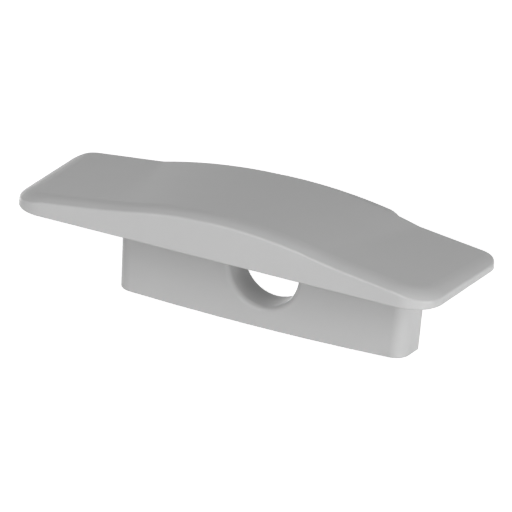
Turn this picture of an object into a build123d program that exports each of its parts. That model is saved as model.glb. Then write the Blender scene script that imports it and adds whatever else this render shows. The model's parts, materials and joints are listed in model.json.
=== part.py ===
from build123d import *
import math
import os

os.makedirs("parts", exist_ok=True)

# All sizes in millimetres. X runs along the cap, Z up. While it is drawn, Y is the depth behind
# the flange's front edge; the finished cap then moves so that the origin is the middle of the
# flange's flat underside.

# flange, seen from above
flange_length = 24.5
flange_depth = 8.5
front_corner = 1.75
back_corner = 1.1

# flange section at its back edge: straight wings that meet the arch at a line
back_peak = 1.98
back_root = 1.04
back_root_half = 7.5
back_tip = 0.50
back_blend = 0.6

# flange section at its front edge, as it would be with the edge left square
front_peak = 2.31
front_root = 1.67
front_root_half = 5.9
front_tip = 0.80
front_blend = 30.0

# rounded upper edge: an arc cut off by the upright face, which leaves a crease. The angles are how
# far the arc turns before it: more at the ends, where the crease is lower, than along the front.
# The corner ease lowers the crease round the front corners.
edge_radius = 1.75
edge_angle = 31.0
end_front_angle = 43.0
end_back_angle = 31.0
corner_ease = 0.3

# web with the cable hole
web_front = 5.6
web_thickness = 1.9
web_top_width = 17.13
web_draft = 0.042
web_height = 5.33
web_bow = 0.19
web_corner = 0.77
web_root = 0.5
hole_diameter = 4.0
hole_drop = 2.35
hole_edge = 0.3

# tongue behind the arch, lower than the flange by the thickness of a cover
tongue_reach = 1.38
tongue_peak = 1.40
tongue_half = 6.0
tongue_side = 0.80
tongue_corner = 1.2
tongue_root = 1.0

# small radii that a mould leaves on its edges
soft_edge = 0.14
soft_foot = 0.08

half = flange_length / 2


def cut_off(angle):
    return edge_radius * (1 - math.sin(math.radians(angle)))


outside = cut_off(edge_angle)
rough_floor = -2 * edge_radius


def between(y, at_front, at_back):
    return at_front + (at_back - at_front) * y / flange_depth


def section(y):
    tip = between(y, front_tip, back_tip)
    root = between(y, front_root, back_root)
    root_half = between(y, front_root_half, back_root_half)
    peak = between(y, front_peak, back_peak)
    blend = between(y, front_blend, back_blend)
    reach = half + between(y, cut_off(end_front_angle), cut_off(end_back_angle))
    slope = (root - tip) / (half - root_half)
    outer_z = root - slope * (reach - root_half)
    rise = peak - root
    arch_radius = (root_half ** 2 + rise ** 2) / (2 * rise)
    arch_z0 = peak - arch_radius

    # the blend arc lies above the wing line and outside the arch, touching both
    unit = math.hypot(1, slope)
    along = Vector(1 / unit, -slope / unit)
    normal = Vector(slope / unit, 1 / unit)
    start = Vector(root_half, root - arch_z0) + normal * blend
    b = start.dot(along)
    c = start.dot(start) - (arch_radius + blend) ** 2
    centre = start + along * (math.sqrt(b * b - c) - b)
    on_wing = centre - normal * blend
    on_arch = centre.normalized() * arch_radius
    middle = centre - (centre * 2 - on_wing - on_arch).normalized() * blend

    def at(point, side):
        return Vector(side * point.X, y, point.Y + arch_z0)

    def corner(x, z):
        return Vector(x, y, z)

    return Wire([
        Line(corner(-reach, rough_floor), corner(reach, rough_floor)),
        Line(corner(reach, rough_floor), corner(reach, outer_z)),
        Line(corner(reach, outer_z), at(on_wing, 1)),
        ThreePointArc(at(on_wing, 1), at(middle, 1), at(on_arch, 1)),
        ThreePointArc(at(on_arch, 1), corner(0, peak), at(on_arch, -1)),
        ThreePointArc(at(on_arch, -1), at(middle, -1), at(on_wing, -1)),
        Line(at(on_wing, -1), corner(-reach, outer_z)),
        Line(corner(-reach, outer_z), corner(-reach, rough_floor)),
    ])


# flange: a lofted block, oversize at its front and ends, has its upper edge rounded and is then
# trimmed to the plan
rough = Solid.make_loft([section(flange_depth), section(-outside)], ruled=True)
upright = rough.edges().filter_by(Axis.Z).sort_by(Axis.Y)[0:2]
rough = rough.fillet(front_corner + outside + corner_ease, upright)
rim = []
for edge in rough.edges():
    box = edge.bounding_box()
    on_top = box.min.Z > rough_floor / 2
    runs_back = box.size.Y > flange_depth or box.min.Y > flange_depth - front_corner
    if on_top and not runs_back:
        rim.append(edge)
rounded = rough.fillet(edge_radius, rim)
plan = Pos(0, flange_depth / 2, 0) * Rectangle(flange_length, flange_depth)
plan = fillet(plan.vertices().sort_by(Axis.Y)[:2], front_corner)
plan = fillet(plan.vertices().sort_by(Axis.Y)[-2:], back_corner)
flange = rounded & extrude(plan, front_peak + 1)


def upright_edge(edge):
    box = edge.bounding_box()
    return math.hypot(box.size.X, box.size.Y) < soft_foot


walls = [f for f in flange.faces() if abs(f.normal_at(f.center()).Z) < 0.02]
outer_edges = ShapeList([e for wall in walls for e in wall.edges() if not upright_edge(e)])
creases = [e for e in outer_edges if e.bounding_box().max.Z > soft_edge]
flange = fillet(creases, soft_edge)
below = [e for e in flange.edges().group_by(Axis.Z)[0] if e.bounding_box().max.Z < soft_edge]
flange = fillet(below, soft_foot)

# web: a plate with drafted sides and a bowed foot, its front uprights rounded
foot = -web_height
upper_half = web_top_width / 2 + web_draft * web_root
lower_half = web_top_width / 2 - web_draft * web_height
outline = make_face(Curve() + [
    Line((-upper_half, web_root), (upper_half, web_root)),
    Line((upper_half, web_root), (lower_half, foot)),
    ThreePointArc((lower_half, foot), (0, foot - web_bow), (-lower_half, foot)),
    Line((-lower_half, foot), (-upper_half, web_root)),
])
front_face = Plane(origin=(0, web_front, 0), x_dir=(1, 0, 0), z_dir=(0, -1, 0))
web = extrude(front_face * outline, -web_thickness)
web_back = web_front + web_thickness
long_edges = web.edges().filter_by(lambda e: e.bounding_box().size.Z > web_height)
web = fillet(long_edges.sort_by(Axis.Y)[:2], web_corner)
thin_edges = [
    e for e in web.edges()
    if e.bounding_box().max.Z < foot + web_corner
    or (e.bounding_box().size.Z > web_height and e.bounding_box().min.Y > web_back - soft_foot)
]
web = fillet(thin_edges, soft_foot)

# tongue: a crowned bar with round shoulders, flat below, that starts inside the flange
crown = make_face(Curve() + [
    Line((-tongue_half, -tongue_corner), (tongue_half, -tongue_corner)),
    Line((tongue_half, -tongue_corner), (tongue_half, tongue_side)),
    ThreePointArc((tongue_half, tongue_side), (0, tongue_peak), (-tongue_half, tongue_side)),
    Line((-tongue_half, tongue_side), (-tongue_half, -tongue_corner)),
])
crown = fillet([v for v in crown.vertices() if v.Y > 0], tongue_corner)
crown = crown - Pos(0, -tongue_corner, 0) * Rectangle(3 * tongue_half, 2 * tongue_corner)
tongue_plane = Plane(
    origin=(0, flange_depth - tongue_root, 0), x_dir=(1, 0, 0), z_dir=(0, -1, 0)
)
tongue = extrude(tongue_plane * crown, -(tongue_root + tongue_reach))
tongue = fillet(tongue.faces().sort_by(Axis.Y)[-1].edges(), soft_edge)

cap = flange + web + tongue

# cable hole: a turned cutter whose mouth flares, so that the hole's front rim is rounded
bore = hole_diameter / 2
flare = bore + hole_edge
bend = hole_edge * (1 - math.sqrt(0.5))
through = web_thickness + web_root
cutter = make_face(Curve() + [
    Line((0, -web_root), (flare, -web_root)),
    Line((flare, -web_root), (flare, 0)),
    ThreePointArc((flare, 0), (bore + bend, bend), (bore, hole_edge)),
    Line((bore, hole_edge), (bore, through)),
    Line((bore, through), (0, through)),
    Line((0, through), (0, -web_root)),
])
cap = cap - Pos(0, web_front, -hole_drop) * revolve(cutter, Axis.Y)

cap = Pos(0, -flange_depth / 2, 0) * cap
export_step(cap, "parts/end_cap.step")
print("end cap:", cap.is_valid, len(cap.solids()), "solid,", round(cap.volume, 1), "mm3")
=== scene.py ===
import json
import math

import bpy
from mathutils import Matrix, Vector

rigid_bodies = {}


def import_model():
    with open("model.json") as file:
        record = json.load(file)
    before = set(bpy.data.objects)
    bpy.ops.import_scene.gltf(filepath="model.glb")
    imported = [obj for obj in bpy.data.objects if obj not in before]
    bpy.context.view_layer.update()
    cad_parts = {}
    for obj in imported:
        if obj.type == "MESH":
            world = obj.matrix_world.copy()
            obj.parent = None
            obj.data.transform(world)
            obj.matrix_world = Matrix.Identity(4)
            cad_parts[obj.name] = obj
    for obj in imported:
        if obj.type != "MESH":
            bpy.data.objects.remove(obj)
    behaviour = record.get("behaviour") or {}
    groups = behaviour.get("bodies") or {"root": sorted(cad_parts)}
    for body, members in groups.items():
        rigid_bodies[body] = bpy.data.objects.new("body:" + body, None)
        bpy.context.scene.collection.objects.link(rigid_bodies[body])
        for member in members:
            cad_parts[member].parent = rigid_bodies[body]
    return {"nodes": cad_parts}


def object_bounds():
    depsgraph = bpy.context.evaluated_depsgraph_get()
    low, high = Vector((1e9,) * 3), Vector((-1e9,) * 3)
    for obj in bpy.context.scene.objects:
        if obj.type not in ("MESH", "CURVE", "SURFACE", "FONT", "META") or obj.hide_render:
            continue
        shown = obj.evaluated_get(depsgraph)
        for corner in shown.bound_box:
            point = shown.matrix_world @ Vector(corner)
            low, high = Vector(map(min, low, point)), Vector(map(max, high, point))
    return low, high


for spare in list(bpy.data.objects):  # the cube, lamp and camera of an empty file
    bpy.data.objects.remove(spare, do_unlink=True)

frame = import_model()
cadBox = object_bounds()
scene = bpy.context.scene
millimetre = 0.001
print("frame loaded:", ", ".join(frame["nodes"]))


class Socket:
    # a value on its way through a node tree; each sum or product adds one Math node

    def __init__(self, tree, link):
        self.tree = tree
        self.link = link

    def maths(self, operation, first, second):
        return self.tree.node("ShaderNodeMath", {"operation": operation}, (first, second))

    def __add__(self, other):
        return self.maths("ADD", self, other)

    def __radd__(self, other):
        return self.maths("ADD", other, self)

    def __sub__(self, other):
        return self.maths("SUBTRACT", self, other)

    def __rsub__(self, other):
        return self.maths("SUBTRACT", other, self)

    def __mul__(self, other):
        return self.maths("MULTIPLY", self, other)

    def __rmul__(self, other):
        return self.maths("MULTIPLY", other, self)


class ShaderTree:
    def __init__(self, owner):
        owner.use_nodes = True
        self.nodes = owner.node_tree.nodes
        self.links = owner.node_tree.links
        self.nodes.clear()

    def node(self, kind, settings=None, sockets=(), out=0):
        # the settings come first, then the sockets' values or links, by name or in order;
        # out says which of the node's outputs is handed on, also by name or in order
        made = self.nodes.new(kind)
        for name, value in (settings or {}).items():
            setattr(made, name, value)
        named = sockets.items() if isinstance(sockets, dict) else enumerate(sockets)
        for key, value in named:
            if isinstance(value, Socket):
                self.links.new(value.link, made.inputs[key])
            else:
                made.inputs[key].default_value = value
        return Socket(self, made.outputs[out]) if made.outputs else None


# The cap is one moulded piece, so it keeps its own mesh and gets its finish here.
plastic = {
    "grey": 0.50,
    "clouding": 0.015,  # how far the grey wanders either way, as a share of it
    "cloudSize": 4.0,  # millimetres, as the other sizes here are
    "flowStretch": 0.35,  # the clouds are drawn out along the cap, as the melt ran
    "roughness": 0.24,
    "roughnessSpread": 0.03,
    "glossPatch": 1.6,
    "cloudDetail": 2.0,  # octaves of the clouds and the gloss patches
    "grain": 0.07,  # the mould's fine texture
    "grainHeight": 0.0012,
    "grainDetail": 1.0,
    "ripple": 1.1,  # the slight unevenness of a moulded face
    "rippleHeight": 0.0008,
    "specular": 0.18,
}


def makePlastic(settings):
    material = bpy.data.materials.new("satin grey plastic")
    tree = ShaderTree(material)
    place = tree.node("ShaderNodeTexCoord", out="Object")
    stretch = (settings["flowStretch"], 1, 1)
    along = tree.node("ShaderNodeMapping", {}, {"Vector": place, "Scale": stretch})

    def noise(where, size, detail=0.0):
        # evenly above and below nought, half a unit either way
        sockets = {"Vector": where, "Scale": 1 / (size * millimetre), "Detail": detail}
        return tree.node("ShaderNodeTexNoise", {}, sockets, "Fac") - 0.5

    cloud = noise(along, settings["cloudSize"], settings["cloudDetail"])
    patch = noise(along, settings["glossPatch"], settings["cloudDetail"])
    grain = noise(place, settings["grain"], settings["grainDetail"])
    ripple = noise(place, settings["ripple"])

    grey = settings["grey"] * (1 + cloud * (2 * settings["clouding"]))
    colour = tree.node("ShaderNodeCombineColor", {}, (grey, grey, grey))
    roughness = settings["roughness"] + patch * (2 * settings["roughnessSpread"])
    height = grain * settings["grainHeight"] + ripple * settings["rippleHeight"]
    relief = tree.node("ShaderNodeBump", {}, {"Distance": millimetre, "Height": height})
    sockets = {
        "Base Color": colour,
        "Roughness": roughness,
        "Normal": relief,
        "Specular IOR Level": settings["specular"],
    }
    shader = tree.node("ShaderNodeBsdfPrincipled", {}, sockets)
    tree.node("ShaderNodeOutputMaterial", {}, {"Surface": shader})
    return material


cap = frame["nodes"]["end_cap"]
cap.data.materials.clear()
cap.data.materials.append(makePlastic(plastic))
print("cap finished in", cap.data.materials[0].name)

studio = {  # millimetres
    "floorDrop": 36.0,  # below the web's foot: the cap is held, not stood up
    "floorSize": 4000.0,
    "floorGrey": 0.80,
    "glowDip": 0.4,  # the glow that shows the floor white is this much less under the lamps
    "glowReach": 300.0,
    "surround": 0.05,  # the even light of the room
    "lampDistance": 160.0,
}
# each lamp's turn to the right of the cap's front and its height, in degrees, then its width in
# millimetres and its watts
lamps = {
    "front": (352, 22, 110, 0.116),
    "high": (0, 47, 90, 0.047),
    "left": (318, 12, 90, 0.027),
    "side": (240, 55, 80, 0.010),
    "right": (84, 8, 100, 0.142),
    "corner": (60, 20, 90, 0.050),
    "rearLow": (165, -9, 70, 0.015),
    "rearLeft": (235, -9, 70, 0.030),
}


def direction(azimuth, elevation):
    a, e = math.radians(azimuth), math.radians(elevation)
    return Vector((math.sin(a) * math.cos(e), -math.cos(a) * math.cos(e), math.sin(e)))


def seenDirectly(tree):
    # 1 for what the camera sees, also through glass or in a reflection
    rays = ("Is Camera Ray", "Is Glossy Ray", "Is Transmission Ray")
    straight, mirrored, through = (tree.node("ShaderNodeLightPath", out=ray) for ray in rays)
    either = straight.maths("MAXIMUM", straight, mirrored)
    return either.maths("MAXIMUM", either, through)


def makeFloor(settings, low):
    reach = settings["floorSize"] * millimetre / 2
    z = low.z - settings["floorDrop"] * millimetre
    corners = [(-reach, -reach, z), (reach, -reach, z), (reach, reach, z), (-reach, reach, z)]
    mesh = bpy.data.meshes.new("floor")
    mesh.from_pydata(corners, [], [(0, 1, 2, 3)])
    floor = bpy.data.objects.new("floor", mesh)
    scene.collection.objects.link(floor)

    material = bpy.data.materials.new("white floor")
    tree = ShaderTree(material)
    tone = (settings["floorGrey"],) * 3 + (1,)
    matt = tree.node("ShaderNodeBsdfDiffuse", {}, {"Color": tone})

    # the glow makes up what the lamps leave, so that the floor shows white all over
    place = tree.node("ShaderNodeTexCoord", out="Object")
    scale = 1 / (settings["glowReach"] * millimetre)
    disk = tree.node("ShaderNodeMapping", {}, {"Vector": place, "Scale": (scale, scale, 0)})
    sphere = {"gradient_type": "QUADRATIC_SPHERE"}
    fall = tree.node("ShaderNodeTexGradient", sphere, (disk,), "Fac")
    level = 1 - fall * settings["glowDip"]
    shade = tree.node("ShaderNodeCombineColor", {}, (level, level, level))
    glow = tree.node("ShaderNodeEmission", {}, {"Color": shade})
    bright = tree.node("ShaderNodeAddShader", {}, (matt, glow))
    mixed = tree.node("ShaderNodeMixShader", {}, (seenDirectly(tree), matt, bright))
    tree.node("ShaderNodeOutputMaterial", {}, {"Surface": mixed})
    mesh.materials.append(material)
    return floor


def makeSurround(strength):
    world = bpy.data.worlds.new("surround")
    tree = ShaderTree(world)
    even = tree.node("ShaderNodeBackground", {}, {"Color": (1, 1, 1, 1), "Strength": strength})
    white = tree.node("ShaderNodeBackground", {}, {"Color": (1, 1, 1, 1), "Strength": 1.0})
    mixed = tree.node("ShaderNodeMixShader", {}, (seenDirectly(tree), even, white))
    tree.node("ShaderNodeOutputWorld", {}, {"Surface": mixed})
    return world


def addLamp(name, azimuth, elevation, width, watts):
    data = bpy.data.lights.new(name, "AREA")
    data.shape = "DISK"
    data.size = width * millimetre
    data.energy = watts
    lamp = bpy.data.objects.new(name, data)
    way = direction(azimuth, elevation)
    lamp.location = way * studio["lampDistance"] * millimetre
    lamp.rotation_mode = "QUATERNION"
    lamp.rotation_quaternion = way.to_track_quat("Z", "Y")
    scene.collection.objects.link(lamp)


low = cadBox[0]
makeFloor(studio, low)
scene.world = makeSurround(studio["surround"])
for name, (azimuth, elevation, width, watts) in lamps.items():
    addLamp(name, azimuth, elevation, width, watts)
print("studio lit by", len(lamps), "lamps")

view = {
    "azimuth": 25.43,
    "elevation": 21.985,
    "roll": 4.17,
    "aim": (2.019, 0.325),  # millimetres right and up from the flange's front edge
    "width": 26.556,  # millimetres across the picture
    "distance": 200.0,
    "near": 1.0,  # nothing nearer than this is shown, nor farther than the next
    "far": 5000.0,
}


def makeCamera(settings):
    a, roll = math.radians(settings["azimuth"]), math.radians(settings["roll"])
    back = direction(settings["azimuth"], settings["elevation"])
    level = Vector((math.cos(a), math.sin(a), 0))
    upward = back.cross(level)
    right = level * math.cos(roll) + upward * math.sin(roll)
    up = upward * math.cos(roll) - level * math.sin(roll)
    frontEdge = Vector((0, low.y, 0))
    target = frontEdge + (right * settings["aim"][0] + up * settings["aim"][1]) * millimetre
    data = bpy.data.cameras.new("camera")
    data.type = "ORTHO"
    data.ortho_scale = settings["width"] * millimetre
    data.clip_start = settings["near"] * millimetre
    data.clip_end = settings["far"] * millimetre
    camera = bpy.data.objects.new("camera", data)
    place = Matrix.Translation(target + back * settings["distance"] * millimetre)
    camera.matrix_world = place @ Matrix((right, up, back)).transposed().to_4x4()
    scene.collection.objects.link(camera)
    return camera


scene.camera = makeCamera(view)
scene.view_settings.view_transform = "Standard"
print("camera set")
